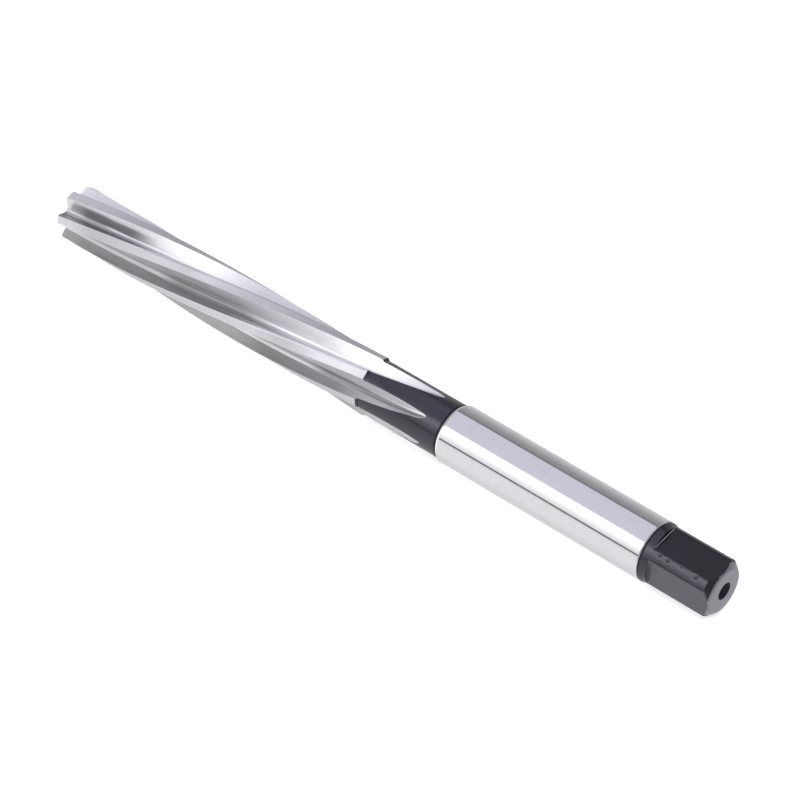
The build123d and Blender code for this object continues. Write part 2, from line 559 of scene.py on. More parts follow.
    def section(self, along: Array) -> Array:
        """Radius and angle of the points of one pitch, for each distance from the tip.

        Up the cutting face from its foot, over the margin and the relief to the heel,
        down the back to its foot, and through the next flute. In the neck the land is
        an arc of the neck's own radius between the same two feet.

        Args:
            along: distances from the tip.

        Returns:
            Radii, and angles from the cutting edge, each with one row for each distance.
        """
        points, measure = self.flute.curve()
        shift = self.flute.shift(along)
        moved = points[None] + shift[:, None]
        radii = np.linalg.norm(moved, axis=2)
        at = self.crossings(radii, np.degrees(np.arctan2(moved[..., 1], moved[..., 0])), measure, along)

        def on_curve(first: Mark, last: Mark, count: int) -> Array:
            """Points at even steps of the measure between two marks.

            Args:
                first: the mark to start from.
                last: the mark to end at.
                count: number of steps.

            Returns:
                Their radii and angles.
            """
            where = at[first][:, None] + (at[last] - at[first])[:, None] * shares(count + 1).T
            x = np.interp(where, measure, points[:, 0]) + shift[:, :1]
            y = np.interp(where, measure, points[:, 1]) + shift[:, 1:]
            return np.stack([np.hypot(x, y), np.degrees(np.arctan2(y, x))])

        edge, limit, margin = self.limits(along)
        pitch = np.array([0.0, self.flute.pitch])[:, None, None]
        face = on_curve(Mark.FACE_FOOT, Mark.EDGE, self.face_columns)
        back = on_curve(Mark.HEEL, Mark.BACK_FOOT, self.back_columns) + pitch
        flute = on_curve(Mark.BACK_FOOT, Mark.FACE_FOOT, self.flute_columns) + pitch
        start, heel = face[1, :, -1:], back[1, :, :1]
        turn = start + np.degrees(margin / edge)
        angle = np.concatenate([
            start + (turn - start) * shares(self.margin_columns + 1)[1:].T,
            turn + (heel - turn) * shares(self.relief_columns + 1)[1:-1].T,
        ], axis=1)
        land = np.stack([self.land_radius(angle - start, edge, limit, margin), angle])
        tooth = np.concatenate([face, land, back[..., :-1]], axis=2)
        feet = face[1, :, :1], back[1, :, -1:]
        foot = feet[0] + (feet[1] - feet[0]) * (np.arange(self.land_columns) / self.land_columns)
        neck = np.stack([np.full_like(foot, NECK_RADIUS), foot])
        tooth = np.where(along[:, None] >= self.length, neck, tooth)
        return np.concatenate([tooth, flute[..., :-1]], axis=2)

    def rings(self, along: Array) -> Array:
        """Whole rings of points: the pitch's section turned to each tooth by the helix.

        The first cutting edge turns back by one full turn in each length of the lead.

        Args:
            along: distances from the tip.

        Returns:
            Distances, radii and angles, each with one row for each distance.
        """
        radius, angle = self.section(along)
        edge = self.first_edge - 360.0 * along / HELIX_LEAD
        turned = [edge[:, None] + self.flute.pitch * tooth + angle for tooth in range(TEETH)]
        rings = np.concatenate(turned, axis=1)
        return np.stack([np.broadcast_to(along[:, None], rings.shape), np.tile(radius, (1, TEETH)), rings])

    def finishes(self, land: Finish) -> Array:
        """Finish number of each column of faces: face, land, back and flute in turn.

        Args:
            land: finish of the lands. In the neck it covers the whole tooth.

        Returns:
            One number for each column.
        """
        pitch = np.full(self.columns, Finish.FLUTE.value)
        # The roots and cutting faces take the darker finish: painted shade of the deep flute.
        pitch[self.land_columns + self.root_column :] = Finish.FACE.value
        if land is Finish.NECK:
            pitch[: self.land_columns] = land.value
        else:
            pitch[: self.face_columns] = Finish.FACE.value
            pitch[self.face_columns : self.land_columns - self.back_columns] = land.value
        return np.tile(pitch, TEETH)

    def painted_light(self, along: Array) -> Array:
        """How strongly each point takes the other tone of its finish.

        On the lands, backs and roots it is painted shade, the strongest patch at each point.
        On the cutting faces it is a painted sheen towards the run-out, which grows evenly
        along the tool.

        Args:
            along: distances from the tip.

        Returns:
            A share from 0 to 1 for each row and column.
        """
        column = np.tile(np.arange(self.columns) - self.land_columns, TEETH)
        tooth = np.repeat(np.arange(TEETH), self.columns)
        # Painted shade: the strongest patch at each point.
        painted_light = np.max([shade_patch.strength(along, column, tooth) for shade_patch in self.shade_patches], axis=0)
        face = (column > self.root_column) | (column < self.face_columns - self.land_columns)
        # Painted sheen on the cutting faces, which grows along the tool.
        start, share = np.array(self.painted_sheen).T[:, np.where(column < 0, tooth - 1, tooth)]
        painted_sheen = np.clip((along[:, None] - start) / self.painted_sheen_fade, 0.0, 1.0) * share * face
        return np.where((along >= self.length)[:, None] & (column < 0), 0.0, painted_light + painted_sheen)

    def creases(self) -> tuple[int, ...]:
        """Columns of the cutting edges, the ends of the margins and the heels."""
        first = np.cumsum([self.face_columns, self.margin_columns, self.relief_columns])
        return tuple(int(column) + self.columns * tooth for tooth in range(TEETH) for column in first)

    def build(self, skin: Skin) -> Array:
        """Adds the teeth, the wall where they end, and the neck as far as the flutes reach.

        The flutes' points run on through the wall unchanged, and where the flutes run out
        they all meet in the first point of the next tooth. The neck's rows gather towards
        the run-out: the gap to its end is the whole gap times a power of the share left.

        Args:
            skin: the skin to add to.

        Returns:
            Angles of the ring of points at the end of the flutes.
        """
        lift = self.flute.lift_start
        along = np.concatenate([
            np.linspace(0.0, self.bevel, self.bevel_rows),
            np.linspace(self.bevel, lift, self.tooth_rows)[1:],
            np.linspace(lift, self.length - self.end_break, self.lift_rows)[1:],
            [self.length - self.wall_gap],
        ])
        teeth = self.rings(along)
        finish = np.tile(self.finishes(Finish.LAND), (len(along) - 1, 1))
        finish[-1, finish[-1] == Finish.LAND.value] = Finish.NECK.value
        skin.add(Patch(*teeth, finish, self.creases(), self.painted_light(along)))
        neck_end = self.flute.neck_end
        left = (1.0 - np.linspace(0.0, 1.0, self.neck_rows)) ** self.neck_gather
        along = neck_end - (neck_end - self.length) * left
        neck = self.rings(along)
        column = np.arange(self.columns * TEETH)
        land = column % self.columns < self.land_columns
        shared = ~land | (column % self.columns == 0)
        neck[:, 0] = np.where(shared, teeth[:, -1], neck[:, 0])
        following = (column // self.columns + 1) % TEETH * self.columns
        neck[2, -1] = neck[2, -1, np.where(land, column, following)]
        skin.add(Patch(*np.stack([teeth[:, -1], neck[:, 0]], axis=1), Finish.NECK.value))
        skin.add(Patch(*neck, self.finishes(Finish.NECK), (), self.painted_light(along)))
        return neck[2, -1, land]

    def tip_ring(self) -> Array:
        """Radii and angles of the first ring of the teeth, at the tip face."""
        return self.rings(np.array([0.0]))[1:, 0]


@dataclass(frozen=True)
class CentreHole:
    """Centre hole: a 60 degree cone on a straight pilot with a drill point.

    lip lists the rings of the rounded rim: depth, and offset from the mouth's radius.
    """

    mouth: float = 1.4
    pilot: float = 0.625
    depth: float = 1.8
    point: float = 0.3
    cone_angle: float = 60.0
    lip: tuple[tuple[float, float], ...] = ((0.0, 0.08), (0.03, 0.02), (0.09, -0.05))
    face_rings: int = 5

    def build(
        self, skin: Skin, end: float, inward: float, angle: Array, face: tuple[Array, Array], finish: Finish,
    ) -> None:
        """Adds the flat end face and the hole in it, ring by ring down to its point.

        The radii follow the hole's outline and the angles stay the same.

        Args:
            skin: the skin to add to.
            end: distance of the end face from the tip.
            inward: 1 where the hole goes towards the square, -1 towards the tip.
            angle: angles of the hole's rings.
            face: radii and angles of the ring round the end face.
            finish: finish of the end face.
        """
        rim_r, rim_a = face
        share = shares(self.face_rings)
        radius = rim_r + (self.mouth + self.lip[0][1] - rim_r) * share
        turned = rim_a + (angle - rim_a) * share
        cone = (self.mouth - self.pilot) / math.tan(math.radians(self.cone_angle / 2))
        outline = np.array([
            *((depth, self.mouth + offset) for depth, offset in self.lip),
            (cone / 2, (self.mouth + self.pilot) / 2), (cone, self.pilot),
            (cone + self.depth / 2, self.pilot), (cone + self.depth, self.pilot),
            (cone + self.depth + self.point, 0.0),
        ])
        flip = slice(None, None, -1) if inward > 0 else slice(None)
        outline = outline[flip]
        skin.add(Patch(end, radius[flip], turned[flip], finish.value))
        skin.add(Patch(end + inward * outline[:, :1], outline[:, 1:], angle, Finish.HOLE.value))


@dataclass(frozen=True)
class Shank:
    """Ground round shank with its chamfer, and the short black collar behind it.

    shadow is the dark corner in front of the shank, dark_front the collar's dark rounded
    front, and clear the plain stretch at each end of the shank's even rings.
    """

    start: float = 81.7
    chamfer: float = 0.5
    radius: float = 5.0
    end_chamfer: float = 0.25
    collar_start: float = 120.6
    collar_radius: float = 4.96
    collar_end: float = 121.75
    dark_front: float = 0.32
    front_drop: float = 0.07
    shoulder_radius: float = 4.75
    end: float = 122.0
    shadow: float = 0.4
    edge_round: float = 0.03
    rim: float = 0.02
    clear: float = 0.5
    neck_rings: int = 9
    body_rings: int = 24
    front_rings: int = 5
    collar_rings: int = 13

    def build(self, skin: Skin, neck_end: float, neck_angle: Array, angle: Array) -> None:
        """Adds the rings of the plain neck, the shank and the collar.

        Each ring has one radius. The neck's rings turn little by little from the flutes'
        angles to those of the square. The collar's front falls by the square of the share
        left to its full radius. The collar falls to the shoulder in a soft curve: three
        times the share's square less twice its cube.

        Args:
            skin: the skin to add to.
            neck_end: where the flutes have run out.
            neck_angle: angles of the ring there.
            angle: angles of the shank's rings.
        """
        share = shares(self.neck_rings)
        dark = self.start - self.shadow
        turned = neck_angle + wrap(angle - neck_angle) * share
        skin.add(Patch(neck_end + (dark - neck_end) * share, NECK_RADIUS, turned, Finish.NECK.value))
        skin.add(Patch(np.array([[dark], [self.start]]), NECK_RADIUS, turned[-1:], Finish.HOLE.value))
        body = self.start + self.chamfer
        tail = self.collar_start - self.end_chamfer
        foot = self.radius - self.end_chamfer
        soft = self.edge_round
        even = np.linspace(body + self.clear, tail - self.clear, self.body_rings)
        self._rings(skin, [
            (self.start, NECK_RADIUS), (body - 2 * soft, self.radius - soft), (body + soft, self.radius),
            *((place, self.radius) for place in np.r_[body + 4 * soft, even, tail - 4 * soft, tail - soft]),
            (tail + soft, self.radius - soft), (self.collar_start - self.rim, foot + self.rim),
            (self.collar_start, foot),
        ], angle, Finish.SHANK)
        share = shares(self.front_rings)
        front = self.collar_start + self.dark_front * share
        lip = np.hstack([front, self.collar_radius - self.front_drop * (1.0 - share) ** 2])
        self._rings(skin, [(self.collar_start, foot), *lip], angle, Finish.HOLE)
        share = shares(self.collar_rings)
        fall = (self.collar_radius - self.shoulder_radius) * share**2 * (3.0 - 2.0 * share)
        along = front[-1] + (self.collar_end - front[-1]) * share
        collar = np.hstack([along, self.collar_radius - fall])
        self._rings(skin, [*collar, (self.end, self.shoulder_radius)], angle, Finish.NECK)

    @staticmethod
    def _rings(skin: Skin, outline: Sequence[Sequence[float]], angle: Array, finish: Finish) -> None:
        """Adds round rings: one for each distance and radius of the outline."""
        table = np.array(outline)
        skin.add(Patch(table[:, :1], table[:, 1:], angle, finish.value))


@dataclass(frozen=True)
class DriveSquare:
    """Driving square with rounded corners and a turned chamfer at its end.

    nicks holds the distance, angle, size and depth of each dent. near_edge and near_end
    are the places of the first points from an edge, in degrees, and from an end, as a
    share. wall holds the shares of the wall's depth at its rings, and lip_fall how far
    each ring of the chamfer's rounded start falls, as a share of lip. The chamfer is black
    outside black_radius, and farther in near the corner at corner_angle, where that black
    is a painted dark reflection.
    """

    start: float = 122.0
    end: float = 133.0
    half_width: float = 3.95
    corner_radius: float = 4.75
    chamfer: float = 1.05
    edge_round: float = 0.06
    fillet: float = 0.12
    fillet_share: float = 0.8
    lip: float = 0.04
    lip_fall: tuple[float, ...] = (0.0, 0.3, 1.0)
    end_round: float = 0.15
    black_radius: float = 4.4
    # Painted dark reflection: the chamfer is black farther in near the one corner that faces the front.
    dark_reflection_radius: float = 3.93
    corner_angle: float = 45.0
    dark_reflection_reach: float = 30.0
    # Least depth of a flat that gets the painted highlight.
    painted_highlight_depth: float = 0.1
    tolerance: float = 1e-6
    nicks: tuple[tuple[float, float, float, float], ...] = (
        (123.35, 37.3, 0.24, 0.18), (124.8, 38.4, 0.27, 0.20), (127.2, 35.2, 0.15, 0.10),
        (129.85, 38.0, 0.42, 0.18),
    )
    wall: tuple[float, ...] = (0.0, 0.04, 0.35, 0.7, 1.0)
    near_edge: tuple[float, ...] = (0.0, 0.45, 1.1)
    near_end: tuple[float, ...] = (0.0, 0.012, 0.035)
    flat_columns: int = 31
    corner_columns: int = 7
    rows: int = 62
    hollow_rings: int = 7
    chamfer_rings: int = 4
    end_rings: int = 5

    @property
    def side(self) -> float:
        """Angle from the middle of a flat to its edge: the arc cosine of width over corner."""
        return math.degrees(math.acos(self.half_width / self.corner_radius))

    def columns(self) -> Array:
        """Angles of a ring's points, gathered near the edges between flats and corners.

        Returns:
            Angles all the way round.
        """
        flat = gathered(-self.side, self.side, self.near_edge, self.flat_columns)
        corner = gathered(0.0, 90.0 - 2 * self.side, self.near_edge, self.corner_columns)
        quarter = np.r_[flat, self.side + corner[1:-1]]
        return np.concatenate([quarter + 90.0 * number for number in range(4)])

    def profile(self, angle: Array) -> Array:
        """Radius of the square at an angle: the lesser of the flat's and the corner's.

        The flat's radius is the half width over the cosine of the angle from its middle.
        The two are blended by half their difference and the root of its square plus a
        small rounding.

        Args:
            angle: angles from +Z.

        Returns:
            The radius at each angle.
        """
        flat = self.half_width / np.cos(np.radians(wrap(angle, 90.0)))
        gap = flat - self.corner_radius
        blend = (flat + self.corner_radius - np.sqrt(gap * gap + self.edge_round**2)) / 2
        return np.minimum(blend, self.corner_radius)

    def dents(self, along: Array, angle: Array) -> Array:
        """Depth of the dents on the upper front corner: the sum of one small hump for each.

        A hump is its depth times e to the minus square of the distance over its size.

        Args:
            along: distances from the tip.
            angle: angles of the ring's points.

        Returns:
            The depth at each point.
        """
        arc_length = np.radians(wrap(angle)) * self.corner_radius
        depth = np.zeros_like(along)
        for place, turn, size, deep in self.nicks:
            gap = (along - place) ** 2 + (arc_length - math.radians(turn) * self.corner_radius) ** 2
            depth = depth + deep * np.exp(-gap / size**2)
        return depth

    def finishes(self, ring: Array) -> Array:
        """Finish number of each column of faces: the round corners are glossier."""
        corner = np.abs(wrap(ring, 90.0)) > self.side - self.tolerance
        return np.where(corner & np.roll(corner, -1), Finish.NECK.value, Finish.SQUARE.value)

    def build(self, skin: Skin, hole: CentreHole) -> None:
        """Adds the shoulder, the square, its end chamfer, the end face and the centre hole.

        The walls where the flats start go straight down from the round shoulder and turn
        into the flats by a small hollow, a quarter of a circle. The end chamfer is a 45
        degree cone, so it starts sooner on the corners than on the flats.

        Args:
            skin: the skin to add to.
            hole: the centre hole in the end.
        """
        ring = self.columns()
        across = self.profile(ring)
        depth = self.corner_radius - across
        hollow = np.minimum(self.fillet, depth * self.fillet_share)
        wall = self.corner_radius - (depth - hollow) * np.array(self.wall)[:, None]
        skin.add(Patch(self.start, wall, ring, Finish.SQUARE.value))
        turn = np.pi / 2 * shares(self.hollow_rings)
        along = self.start + hollow * (1.0 - np.cos(turn))
        radius = across + hollow * (1.0 - np.sin(turn))
        # Painted highlight: bare steel along the hollow of the upper flat only, where its edge catches the
        # light.
        painted_light_mask = np.sin(2 * turn) * (depth > self.painted_highlight_depth) * (np.abs(wrap(ring)) < 45.0)
        skin.add(Patch(along, radius, ring, Finish.SQUARE.value, (), painted_light_mask))
        foot = self.corner_radius - self.chamfer
        edge = self.end - (across - foot) - self.lip
        rows = gathered(0.0, 1.0, self.near_end, self.rows)[:, None]
        reach = along[-1] + (edge - along[-1]) * rows
        skin.add(Patch(reach, across - self.dents(reach, ring), ring, self.finishes(ring)))
        lip_r = across - self.lip * np.array(self.lip_fall)[:, None]
        lips = edge + 2 * self.lip * shares(len(lip_r))
        skin.add(Patch(lips, lip_r, ring, Finish.SQUARE.value))
        # Painted dark reflection on the chamfer near one corner.
        near = np.abs(wrap(ring - self.corner_angle)) < self.dark_reflection_reach
        split = np.minimum(lip_r[-1], np.where(near, self.dark_reflection_radius, self.black_radius))
        inner = foot + self.end_round
        for upper, lower, finish in ((lip_r[-1], split, Finish.SQUARE), (split, inner, Finish.END)):
            radius = upper + (lower - upper) * shares(self.chamfer_rings)
            skin.add(Patch(self.end - (radius - foot), radius, ring, finish.value))
        share = shares(self.end_rings)
        rim_r = inner - 2 * self.end_round * share
        skin.add(Patch(self.end - self.end_round * (1.0 - share) ** 2, rim_r, ring, Finish.END.value))
        hole.build(skin, self.end, -1.0, ring, (rim_r[-1], ring), Finish.END)


class Nodes:
    """Node tree with short calls for adding and joining nodes."""

    def __init__(self, tree: bpy.types.NodeTree) -> None:
        """Starts with an empty tree."""
        self.tree = tree
        self.tree.nodes.clear()

    def add(self, kind: str, inputs: Inputs | None = None, **settings: object) -> bpy.types.Node:
        """Adds a node, sets its properties, and fills or joins its inputs.

        Args:
            kind: the node's type name, without its ShaderNode prefix.
            inputs: a value or an output socket for each named or numbered input.
            settings: properties of the node.

        Returns:
            The node.
        """
        node = self.tree.nodes.new("ShaderNode" + kind)
        for name, value in settings.items():
            setattr(node, name, value)
        for name, value in (inputs or {}).items():
            if isinstance(value, Socket):
                self.tree.links.new(value, node.inputs[name])
            else:
                node.inputs[name].default_value = value
        return node

    def place(self) -> Socket:
        """Object coordinates."""
        return self.add("TexCoord").outputs["Object"]

    def painted_light_share(self) -> Socket:
        """The mesh's share of painted light or shade, from 0 to 1."""
        return self.add("Attribute", attribute_name="painted_light_share").outputs["Fac"]

    def math(self, operation: str, *values: object, clamp: bool = False) -> Socket:
        """Result of a Math node."""
        return self.add("Math", dict(enumerate(values)), operation=operation, use_clamp=clamp).outputs[0]

    def sum(self, first: object, first_share: float, second: object, second_share: float) -> Socket:
        """Sum of two values, each times its own share."""
        parts = [self.math("MULTIPLY", first, first_share), self.math("MULTIPLY", second, second_share)]
        return self.math("ADD", *parts)

    def ramp(self, value: object, low: float, high: float, start: float = 0.0, end: float = 1.0) -> Socket:
        """Value carried smoothly from one range to another, and held at its ends."""
        inputs = {0: value, 1: low, 2: high, 3: start, 4: end}
        return self.add("MapRange", inputs, interpolation_type="SMOOTHSTEP").outputs[0]

    def noise(self, vector: object, scale: float, detail: float = 3.0, rough: float = 0.5) -> Socket:
        """Noise between 0 and 1 at a scale per metre."""
        inputs = {"Vector": vector, "Scale": scale, "Detail": detail, "Roughness": rough}
        return self.add("TexNoise", inputs).outputs[0]

    def mix(self, factor: object, first: object, second: object) -> Socket:
        """Colour between two colours."""
        return self.add("Mix", {0: factor, 6: first, 7: second}, data_type="RGBA").outputs[2]

    def shade(self, inputs: Inputs) -> None:
        """Adds the surface's shader with these inputs, and the output."""
        shader = self.add("BsdfPrincipled", inputs)
        self.add("OutputMaterial", {"Surface": shader.outputs[0]})


def dressing(name: str) -> tuple[bpy.types.Material, Nodes]:
    """New material of this name, and its empty node tree.

    Args:
        name: the material's name.

    Returns:
        The material, and its nodes.
    """
    material = bpy.data.materials.new(name)
    material.use_nodes = True
    return material, Nodes(material.node_tree)


@dataclass(frozen=True)
class Coordinates:
    """Object coordinates drawn out along the marks of a finish."""

    grain: Grain

    def vector(self, nodes: Nodes, stretch: float) -> Socket:
        """Coordinates in which a noise is drawn out along the grain.

        For the helix they turn about the axis by a full turn in each lead, so that a
        tooth is straight in them.

        Args:
            nodes: the tree to add to.
            stretch: how many times longer than wide the marks are.

        Returns:
            The coordinates' socket.
        """
        inputs = {0: nodes.place(), 1: (0.0, 0.0, -AXIS_HEIGHT * MM)}
        centred = nodes.add("VectorMath", inputs, operation="ADD").outputs[0]
        if self.grain is Grain.ROUND:
            scale = (1.0, 1.0 / stretch, 1.0 / stretch)
        else:
            scale = (1.0 / stretch, 1.0, 1.0)
        if self.grain is Grain.HELIX:
            x = nodes.add("SeparateXYZ", {0: centred}).outputs[0]
            turn = nodes.math("MULTIPLY", x, -2 * math.pi / (HELIX_LEAD * MM))
            rotate = {"Vector": centred, "Axis": (1.0, 0.0, 0.0), "Angle": turn}
            centred = nodes.add("VectorRotate", rotate, rotation_type="AXIS_ANGLE").outputs[0]
        return nodes.add("VectorMath", {0: centred, 1: scale}, operation="MULTIPLY").outputs[0]


@dataclass(frozen=True)
class GroundSteel:
    """Bare steel with the fine lines that a grinding wheel leaves.

    film is the tone that it takes where the mesh's wear is 1. lines and the other scales
    count per metre, and depth is the lines' depth in metres.
    """

    name: str
    grain: Grain
    light: Tone = (0.83, 0.83, 0.85)
    dark: Tone = (0.80, 0.80, 0.82)
    roughness: tuple[float, float] = (0.10, 0.22)
    lines: float = 9000.0
    stretch: float = 60.0
    bump: float = 0.25
    depth: float = 0.000004
    specks: float = 0.0
    brushed: float = 0.0
    # Tone of the painted shade on flutes and lands; the cutting faces give a lighter one for their painted
    # sheen.
    painted_light: Tone = (0.28, 0.28, 0.29)
    smudges: float = 0.0
    speck_tone: Tone = (0.02, 0.02, 0.025)
    smudge_tone: Tone = (0.25, 0.25, 0.27)
    cloud_scale: float = 260.0
    scratch_scale: float = 3500.0
    speck_scale: float = 330.0
    smudge_scale: float = 420.0

    def material(self) -> bpy.types.Material:
        """Metal whose tint, roughness and height follow fine lines, clouds and scratches.

        Returns:
            The material.
        """
        material, nodes = dressing(self.name)
        grain = Coordinates(self.grain).vector(nodes, self.stretch)
        place = nodes.place()
        fine = nodes.noise(grain, self.lines, 4.0, 0.6)
        broad = nodes.noise(grain, self.lines / 7.0, 2.0, 0.5)
        lines = nodes.sum(fine, 0.6, broad, 0.4)
        tone = nodes.ramp(lines, 0.36, 0.64)
        colour = nodes.mix(tone, (*self.dark, 1.0), (*self.light, 1.0))
        haze = nodes.ramp(nodes.noise(place, self.cloud_scale, 3.0, 0.6), 0.42, 0.7)
        rough = nodes.ramp(nodes.sum(tone, 0.6, haze, 0.4), 0.1, 0.9, *self.roughness)
        tilt = {"Vector": place, "Rotation": (0.5, 0.9, 0.4), "Scale": (0.05, 1.0, 1.0)}
        tilted = nodes.add("Mapping", tilt).outputs[0]
        scratch = nodes.ramp(nodes.noise(tilted, self.scratch_scale, 2.0, 0.5), 0.735, 0.765)
        spot = nodes.add("TexVoronoi", {"Vector": place, "Scale": self.speck_scale}, feature="F1")
        small = nodes.ramp(spot.outputs["Distance"], 0.05, 0.09, 1.0, 0.0)
        chosen = nodes.add("SeparateColor", {0: spot.outputs["Color"]}).outputs[0]
        speck = nodes.math("MULTIPLY", small, nodes.math("LESS_THAN", chosen, self.specks))
        colour = nodes.mix(speck, colour, (*self.speck_tone, 1.0))
        smear = nodes.ramp(nodes.noise(place, self.smudge_scale, 5.0, 0.65), 0.54, 0.72)
        colour = nodes.mix(nodes.math("MULTIPLY", smear, self.smudges), colour, (*self.smudge_tone, 1.0))
        # Painted shade and sheen: the mesh's share mixes in the painted tone.
        colour = nodes.mix(nodes.painted_light_share(), colour, (*self.painted_light, 1.0))
        height = nodes.math("SUBTRACT", lines, nodes.math("MULTIPLY", scratch, 0.5))
        bump = nodes.add("Bump", {"Strength": self.bump, "Distance": self.depth, "Height": height})
        tangent = nodes.add("Tangent", direction_type="RADIAL", axis="X").outputs[0]
        nodes.shade({
            "Base Color": colour, "Metallic": 1.0, "Roughness": rough, "Normal": bump.outputs[0],
            "Anisotropic": self.brushed, "Tangent": tangent,
        })
        return material


@dataclass(frozen=True)
class BlackOxide:
    """Steel under a thin black oxide skin, drawn as bare steel where the mesh carries painted light.

    One strength is that of this bare steel, a painted highlight; another that of a paler tone
    in front of given distances from the axis, in metres: painted light on the side that faces the front.
    """

    name: str
    grain: Grain
    colour: Tone = (0.003, 0.003, 0.005)
    faded: Tone = (0.008, 0.0075, 0.012)
    bare: Tone = (0.50, 0.50, 0.53)
    roughness: tuple[float, float] = (0.20, 0.28)
    gloss: float = 1.75
    tint: Tone = (0.88, 0.87, 1.0)
    lines: float = 5000.0
    stretch: float = 25.0
    bump: float = 0.35
    depth: float = 0.000006
    # Strength of the painted highlight: bare steel where the mesh carries painted light.
    painted_light_share: float = 1.0
    # Painted light on the side that faces the front: how strong, from which distances, and its tone.
    painted_front_light: float = 0.0
    painted_front_from: tuple[float, float] = (0.0037, 0.0039)
    painted_front_tone: Tone = (0.060, 0.058, 0.070)
    cloud_scale: float = 380.0
    fine_scale: float = 9000.0
    patch_scale: float = 1500.0

    def material(self) -> bpy.types.Material:
        """Dark coat whose tone and gloss vary, with bare steel as a painted highlight and a paler front as
        painted light.

        Returns:
            The material.
        """
        material, nodes = dressing(self.name)
        grain = Coordinates(self.grain).vector(nodes, self.stretch)
        place = nodes.place()
        lines = nodes.noise(grain, self.lines, 4.0, 0.6)
        cloud = nodes.noise(place, self.cloud_scale, 4.0, 0.6)
        fine = nodes.noise(place, self.fine_scale, 3.0, 0.6)
        fade = nodes.sum(nodes.ramp(cloud, 0.35, 0.7), 0.6, nodes.ramp(lines, 0.35, 0.65), 0.4)
        colour = nodes.mix(fade, (*self.colour, 1.0), (*self.faded, 1.0))
        # Painted light: the side towards -Y, which faces the front, is paler.
        front = nodes.math("MULTIPLY", nodes.add("SeparateXYZ", {0: place}).outputs[1], -1.0)
        front = nodes.math("MULTIPLY", nodes.ramp(front, *self.painted_front_from), self.painted_front_light)
        colour = nodes.mix(front, colour, (*self.painted_front_tone, 1.0))
        # Painted highlight: bare steel, ragged at its border, where the mesh carries painted light.
        patchy = nodes.math("SUBTRACT", nodes.noise(place, self.patch_scale, 4.0, 0.65), 0.5)
        ragged = nodes.math("MULTIPLY_ADD", patchy, 0.7, nodes.painted_light_share())
        painted_bare_share = nodes.math("MULTIPLY", nodes.ramp(ragged, 0.4, 0.75), self.painted_light_share, clamp=True)
        colour = nodes.mix(painted_bare_share, colour, (*self.bare, 1.0))
        rough = nodes.ramp(nodes.sum(cloud, 0.5, fine, 0.5), 0.35, 0.65, *self.roughness)
        height = nodes.sum(lines, 0.5, fine, 0.4)
        bump = nodes.add("Bump", {"Strength": self.bump, "Distance": self.depth, "Height": height})
        nodes.shade({
            "Base Color": colour, "Metallic": nodes.math("MULTIPLY", painted_bare_share, 0.9), "Roughness": rough,
            "IOR": self.gloss, "Specular Tint": (*self.tint, 1.0), "Normal": bump.outputs[0],
        })
        return material


